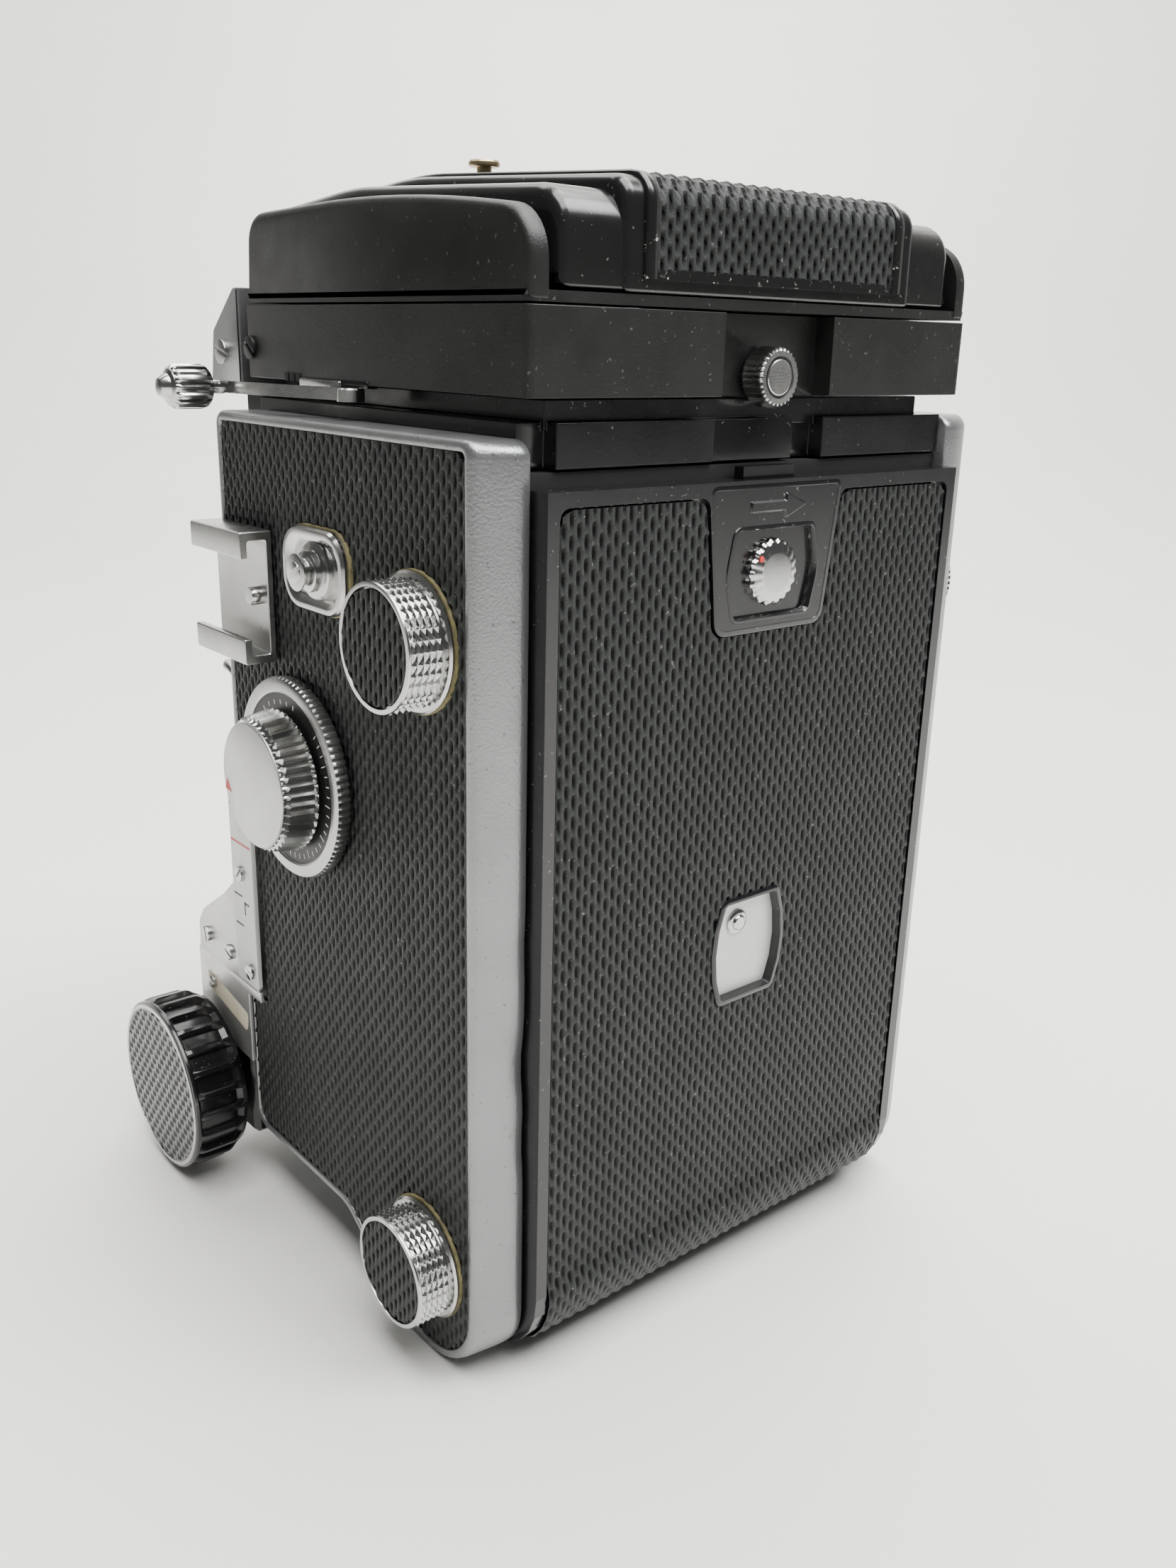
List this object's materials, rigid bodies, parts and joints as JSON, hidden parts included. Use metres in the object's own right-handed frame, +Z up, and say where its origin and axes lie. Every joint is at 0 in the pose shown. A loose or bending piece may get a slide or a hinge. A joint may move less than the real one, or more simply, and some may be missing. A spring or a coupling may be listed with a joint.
{
  "type": "twin lens reflex camera",
  "caption": "Medium-format camera with paired viewing and taking lenses on a focusing standard, a folding waist-level hood, a winding crank and a hinged back.",
  "frame": {"origin": "middle of the bounding box in X and Y, on the surface that the camera stands on", "axes": "+Z up, the lenses face -Y, the back door faces +Y, +X is the camera's own left side"},
  "size_m": [0.119, 0.114, 0.1736],
  "materials": {
    "silver_paint": "satin silver-grey hammered paint on the side covers and the brow",
    "black_enamel": "gloss black enamel, worn to bright metal on its edges",
    "matt_black": "matt black crackle paint on the finder",
    "inner_black": "flat black inside",
    "leatherette": "black pressed grain in staggered vertical loops",
    "chrome": "bright chrome, lightly pitted",
    "bright_steel": "brushed plate",
    "aluminium": "bare cast and turned aluminium",
    "brass": "worn brass",
    "glass": "coated glass",
    "screen": "ground glass",
    "mirror": "first-surface mirror",
    "bellows_cloth": "black bellows cloth"
  },
  "bodies": {
    "camera_body": {"main_casting": "inner_black", "top_deck": "black_enamel", "left_side_cover": "silver_paint", "right_side_cover": "silver_paint", "left_leatherette": "leatherette", "right_leatherette": "leatherette", "tripod_base": "black_enamel", "tripod_bush": "bright_steel", "accessory_shoe": "bright_steel", "left_strap_lug": "chrome", "right_strap_lug": "chrome", "mirror": "mirror", "focusing_screen": "screen", "door_hinge_pin": "bright_steel", "focus_bed": "black_enamel", "side_plates": "aluminium", "front_brow": "silver_paint", "finder_base": "matt_black", "hood_frame": "matt_black"},
    "back_door": {"back_door": "black_enamel", "door_leatherette": "leatherette", "plate_carrier": "aluminium"},
    "focus_drive": {"focus_shaft": "bright_steel", "left_focus_knob": "black_enamel", "right_focus_knob": "black_enamel"},
    "front_standard": {"front_standard": "black_enamel", "focus_rails": "bright_steel", "lens_board": "black_enamel", "shutter_housing": "black_enamel", "taking_lens_barrel": "black_enamel", "viewing_lens_barrel": "black_enamel", "taking_lens_glass": "glass", "viewing_lens_glass": "glass"},
    "door_lock_dial": {"door_lock_dial": "chrome"},
    "door_latch": {"door_latch": "bright_steel"},
    "pressure_plate": {"pressure_plate": "inner_black"},
    "supply_spool": {"supply_spool": "inner_black"},
    "take_up_spool": {"take_up_spool": "inner_black"},
    "wind_crank": {"wind_crank": "chrome"},
    "counter_disc": {"counter_disc": "inner_black"},
    "crank_grip": {"crank_grip": "black_enamel"},
    "bellows_fold_1": {"bellows_fold_1": "bellows_cloth"},
    "bellows_fold_2": {"bellows_fold_2": "bellows_cloth"},
    "shutter_speed_ring": {"shutter_speed_ring": "chrome"},
    "cocking_lever": {"cocking_lever": "chrome"},
    "lens_board_bail": {"lens_board_bail": "bright_steel"},
    "shutter_release_button": {"shutter_release_button": "chrome"},
    "upper_spool_knob": {"upper_spool_knob": "chrome"},
    "lower_spool_knob": {"lower_spool_knob": "chrome"},
    "film_reminder_ring": {"film_reminder_ring": "aluminium"},
    "lens_lock_knob": {"lens_lock_knob": "chrome"},
    "light_baffle": {"light_baffle": "inner_black"},
    "finder_thumbscrew": {"finder_thumbscrew": "chrome"},
    "hood_lid": {"hood_lid": "matt_black"},
    "left_hood_leaf": {"left_hood_leaf": "matt_black"},
    "right_hood_leaf": {"right_hood_leaf": "matt_black"},
    "rear_hood_leaf": {"rear_hood_leaf": "matt_black"},
    "magnifier": {"magnifier": "matt_black"},
    "hood_button": {"hood_button": "brass"},
    "finder_side_lever": {"finder_side_lever": "chrome"}
  },
  "joints": [
    {"name": "door_hinge", "type": "hinge", "parent": "camera_body", "child": "back_door", "pos_m": [0, 0.0162, 0.0114], "axis": [-1, 0, 0], "range_deg": [0, 90]},
    {"name": "door_lock_turn", "type": "hinge", "parent": "back_door", "child": "door_lock_dial", "pos_m": [0, 0.056, 0.117], "axis": [0, 1, 0], "range_deg": [0, 70]},
    {"name": "door_latch_slide", "type": "slide", "parent": "back_door", "child": "door_latch", "axis": [0, 0, -1], "range_m": [0, 0.0015]},
    {"name": "pressure_plate_press", "type": "slide", "parent": "back_door", "child": "pressure_plate", "axis": [0, 1, 0], "range_m": [0, 0.0005], "stiffness_N_per_m": 400, "springref_m": -0.0005},
    {"name": "supply_spool_turn", "type": "hinge", "parent": "camera_body", "child": "supply_spool", "pos_m": [0, 0.0393, 0.0165], "axis": [1, 0, 0], "continuous": true},
    {"name": "wind_turn", "type": "hinge", "parent": "camera_body", "child": "wind_crank", "pos_m": [-0.048, 0.0393, 0.1097], "axis": [1, 0, 0], "continuous": true},
    {"name": "take_up_turn", "type": "hinge", "parent": "camera_body", "child": "take_up_spool", "pos_m": [0, 0.0393, 0.1097], "axis": [1, 0, 0], "continuous": true},
    {"name": "counter_turn", "type": "hinge", "parent": "camera_body", "child": "counter_disc", "pos_m": [-0.047, -0.0014, 0.092], "axis": [1, 0, 0], "continuous": true},
    {"name": "crank_grip_fold", "type": "hinge", "parent": "wind_crank", "child": "crank_grip", "pos_m": [-0.0565, 0.0393, 0.087], "axis": [0, -1, 0], "range_deg": [0, 90]},
    {"name": "focus_turn", "type": "hinge", "parent": "camera_body", "child": "focus_drive", "pos_m": [0, -0.0303, 0.0166], "axis": [1, 0, 0], "range_deg": [0, 573]},
    {"name": "standard_slide", "type": "slide", "parent": "camera_body", "child": "front_standard", "axis": [0, -1, 0], "range_m": [0, 0.05]},
    {"name": "bellows_1_slide", "type": "slide", "parent": "camera_body", "child": "bellows_fold_1", "axis": [0, -1, 0], "range_m": [0, 0.0167]},
    {"name": "bellows_2_slide", "type": "slide", "parent": "camera_body", "child": "bellows_fold_2", "axis": [0, -1, 0], "range_m": [0, 0.0334]},
    {"name": "shutter_speed_turn", "type": "hinge", "parent": "front_standard", "child": "shutter_speed_ring", "pos_m": [0, -0.0408, 0.062], "axis": [0, 1, 0], "range_deg": [0, 150]},
    {"name": "cocking_lever_swing", "type": "hinge", "parent": "front_standard", "child": "cocking_lever", "pos_m": [0, -0.0408, 0.062], "axis": [0, 1, 0], "range_deg": [0, 50]},
    {"name": "bail_swing", "type": "hinge", "parent": "front_standard", "child": "lens_board_bail", "pos_m": [0, -0.0294, 0.05], "axis": [1, 0, 0], "range_deg": [0, 80]},
    {"name": "release_press", "type": "slide", "parent": "camera_body", "child": "shutter_release_button", "axis": [0, 1, 0], "range_m": [0, 0.003], "stiffness_N_per_m": 150, "springref_m": -0.001},
    {"name": "upper_knob_pull", "type": "slide", "parent": "camera_body", "child": "upper_spool_knob", "axis": [1, 0, 0], "range_m": [0, 0.005]},
    {"name": "lower_knob_pull", "type": "slide", "parent": "camera_body", "child": "lower_spool_knob", "axis": [1, 0, 0], "range_m": [0, 0.005]},
    {"name": "film_reminder_turn", "type": "hinge", "parent": "camera_body", "child": "film_reminder_ring", "pos_m": [0.048, 0.0073, 0.0834], "axis": [1, 0, 0], "continuous": true},
    {"name": "lens_lock_turn", "type": "hinge", "parent": "camera_body", "child": "lens_lock_knob", "pos_m": [0.048, 0.0073, 0.0834], "axis": [1, 0, 0], "range_deg": [0, 60]},
    {"name": "baffle_tilt", "type": "hinge", "parent": "camera_body", "child": "light_baffle", "pos_m": [0, 0.0426, 0.0345], "axis": [-1, 0, 0], "range_deg": [0, 75.01]},
    {"name": "finder_screw_turn", "type": "hinge", "parent": "camera_body", "child": "finder_thumbscrew", "pos_m": [0, 0.0551, 0.1428], "axis": [0, 1, 0], "range_deg": [0, 720]},
    {"name": "hood_open", "type": "hinge", "parent": "camera_body", "child": "hood_lid", "pos_m": [0, -0.0129, 0.156], "axis": [1, 0, 0], "range_deg": [0, 90]},
    {"name": "left_leaf_fold", "type": "hinge", "parent": "camera_body", "child": "left_hood_leaf", "pos_m": [0.034, 0.0516, 0.15335], "axis": [0, 1, 0], "range_deg": [0, 90]},
    {"name": "right_leaf_fold", "type": "hinge", "parent": "camera_body", "child": "right_hood_leaf", "pos_m": [-0.034, 0.0516, 0.15335], "axis": [0, -1, 0], "range_deg": [0, 90]},
    {"name": "rear_leaf_fold", "type": "hinge", "parent": "camera_body", "child": "rear_hood_leaf", "pos_m": [0, 0.049, 0.15435], "axis": [-1, 0, 0], "range_deg": [0, 90]},
    {"name": "magnifier_level", "type": "hinge", "parent": "hood_lid", "child": "magnifier", "pos_m": [0, 0.0221, 0.1598], "axis": [1, 0, 0], "range_deg": [-90, 0]},
    {"name": "hood_button_press", "type": "slide", "parent": "hood_lid", "child": "hood_button", "axis": [0, 0, -1], "range_m": [0, 0.002], "stiffness_N_per_m": 150, "springref_m": -0.001},
    {"name": "side_lever_swing", "type": "hinge", "parent": "camera_body", "child": "finder_side_lever", "pos_m": [0.0418, 0.0146, 0.1389], "axis": [0, 0, 1], "range_deg": [0, 20]}
  ],
  "couplings": [
    {"joint": "door_lock_turn", "follows": "door_latch_slide", "rad_per_m": 814},
    {"joint": "take_up_turn", "follows": "wind_turn", "ratio": 1},
    {"joint": "counter_turn", "follows": "wind_turn", "ratio": 0.06},
    {"joint": "focus_turn", "follows": "standard_slide", "rad_per_m": 200},
    {"joint": "bellows_1_slide", "follows": "standard_slide", "ratio": 0.33333},
    {"joint": "bellows_2_slide", "follows": "standard_slide", "ratio": 0.66667},
    {"joint": "baffle_tilt", "follows": "lens_lock_turn", "ratio": 1.25},
    {"joint": "left_leaf_fold", "follows": "hood_open", "ratio": 1},
    {"joint": "right_leaf_fold", "follows": "hood_open", "ratio": 1},
    {"joint": "rear_leaf_fold", "follows": "hood_open", "ratio": 1},
    {"joint": "magnifier_level", "follows": "hood_open", "ratio": -1}
  ]
}
